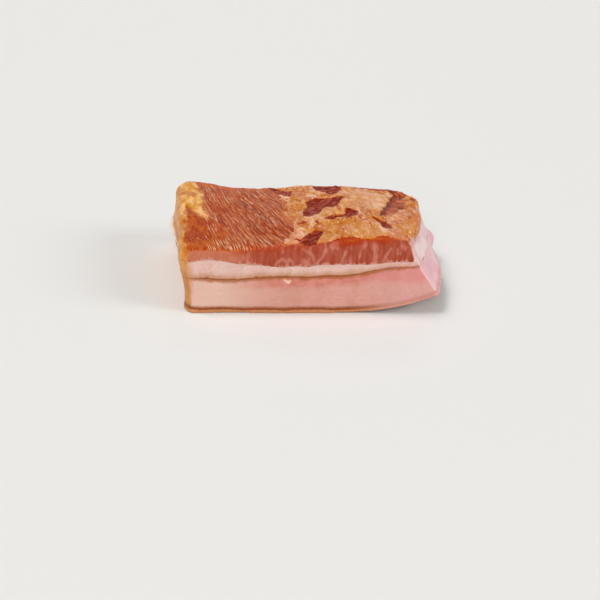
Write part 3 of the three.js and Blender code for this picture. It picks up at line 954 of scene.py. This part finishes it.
strand_curve = bpy.data.curves.new("pale_strands", "CURVE")
strand_curve.dimensions = "3D"
strand_curve.bevel_depth = MM
strand_curve.bevel_resolution = 1
strand_curve.use_fill_caps = True
sx = draw.uniform(*STARTS_X, STRAND_STARTS)
sy = draw.uniform(*STARTS_Y, STRAND_STARTS)
sy[:FRAYED_STRANDS] = draw.uniform(*FRAYED_Y, FRAYED_STRANDS)
sx[:FRAYED_STRANDS] = draw.uniform(*FRAYED_X, FRAYED_STRANDS)
lengths = draw.integers(5, 19, STRAND_STARTS)
radii = draw.uniform(*STRAND_RADII, STRAND_STARTS)
trails = [[] for _ in range(STRAND_STARTS)]
for step in range(lengths.max()):
    for index in np.flatnonzero(lengths > step):
        px, py = sx[index], sy[index]
        height = top_at(px, py)
        if height is None or py < LAST_STRAND_Y or px > along_line(MEMBRANE_LEFT, py) + 1:
            lengths[index] = step
        else:
            trails[index].append((px, py, height + STRAND_LIFT))
    step_x, step_y = strand_heading(sx, sy)
    sx = sx + STRAND_STEP * step_x
    sy = sy + STRAND_STEP * step_y
for trail, radius in zip(trails, radii):
    if len(trail) > 3:
        add_strand(strand_curve, trail, radius)
strands = bpy.data.objects.new("pale_strands", strand_curve)
bpy.context.collection.objects.link(strands)
bpy.ops.object.select_all(action="DESELECT")
strands.select_set(True)
bpy.context.view_layer.objects.active = strands
bpy.ops.object.convert(target="MESH")
strands = bpy.context.view_layer.objects.active
shade_smooth(strands)
material, tree, shader = moist_material("connective tissue", roughness=0.35, wetness=0.3, flesh_depth=1.0)
cloudy = grain(tree, place(tree), 6, 2)
surface = mixed(tree, between(tree, cloudy, 0.35, 0.65), STRAND_ROSE, STRAND_PALE)
plug(tree, shader.inputs["Base Color"], surface)
strands.data.materials.append(material)
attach(strands, "root")

# Floor, light and camera
# A plain pale floor that curves up far away, under soft lights from above and from the front
# left, with one on the right end and a faint one behind that gives the top its sheen. The
# camera is low in front and a little to the left.
FLAT_FLOOR = 4
FLOOR_END = 7
FLOOR_RISE = 1.2
FLOOR_CELLS = 90
FLOOR_PALE = (236, 235, 232)
bpy.ops.mesh.primitive_grid_add(
    x_subdivisions=FLOOR_CELLS, y_subdivisions=FLOOR_CELLS, size=2 * FLOOR_END,
)
floor = bpy.context.active_object
floor.name = "floor"
for vertex in floor.data.vertices:
    vertex.co.z = FLOOR_RISE * rise(FLAT_FLOOR, FLOOR_END, vertex.co.xy.length)
shade_smooth(floor)
floor_finish = bpy.data.materials.new("pale floor")
floor_finish.use_nodes = True
floor_shader = floor_finish.node_tree.nodes["Principled BSDF"]
floor_shader.inputs["Base Color"].default_value = colour(FLOOR_PALE)
floor_shader.inputs["Roughness"].default_value = 0.7
floor.data.materials.append(floor_finish)

MIDDLE = Vector((0, 0, 0.02))


def soft_light(name, position, spread, strength):
    """A wide far light that shines from a place towards the middle of the slab."""
    light = bpy.data.lights.new(name, "SUN")
    light.angle = math.radians(spread)
    light.energy = strength
    lamp = bpy.data.objects.new(name, light)
    bpy.context.collection.objects.link(lamp)
    lamp.location = position
    lamp.rotation_euler = (MIDDLE - Vector(position)).to_track_quat("-Z", "Y").to_euler()


soft_light("overhead", (-0.45, 0.05, 1.0), spread=24, strength=1.38)
soft_light("front", (-0.35, -1.2, 0.6), spread=30, strength=1.2)
soft_light("sheen", (0.1, 0.9, 0.75), spread=12, strength=0.12)
soft_light("right", (1.1, -0.4, 0.7), spread=28, strength=0.95)
world = bpy.data.worlds.new("soft surround")
world.use_nodes = True
world.node_tree.nodes["Background"].inputs["Color"].default_value = (1, 1, 1, 1)
world.node_tree.nodes["Background"].inputs["Strength"].default_value = 0.25
bpy.context.scene.world = world
bpy.context.scene.view_settings.view_transform = "Standard"

EYE = Vector((-0.10025, -0.54199, 0.2253))
AIM = Vector((-0.00735, -0.01509, 0))
ROLL = math.radians(4.22)
lens = bpy.data.cameras.new("camera")
lens.lens = 59.8
lens.sensor_width = 36
lens.shift_x = -0.0022
lens.shift_y = -0.026
camera = bpy.data.objects.new("camera", lens)
bpy.context.collection.objects.link(camera)
turn = (AIM - EYE).to_track_quat("-Z", "Y").to_matrix() @ Matrix.Rotation(ROLL, 3, "Z")
camera.location = EYE
camera.rotation_euler = turn.to_euler()
bpy.context.scene.camera = camera
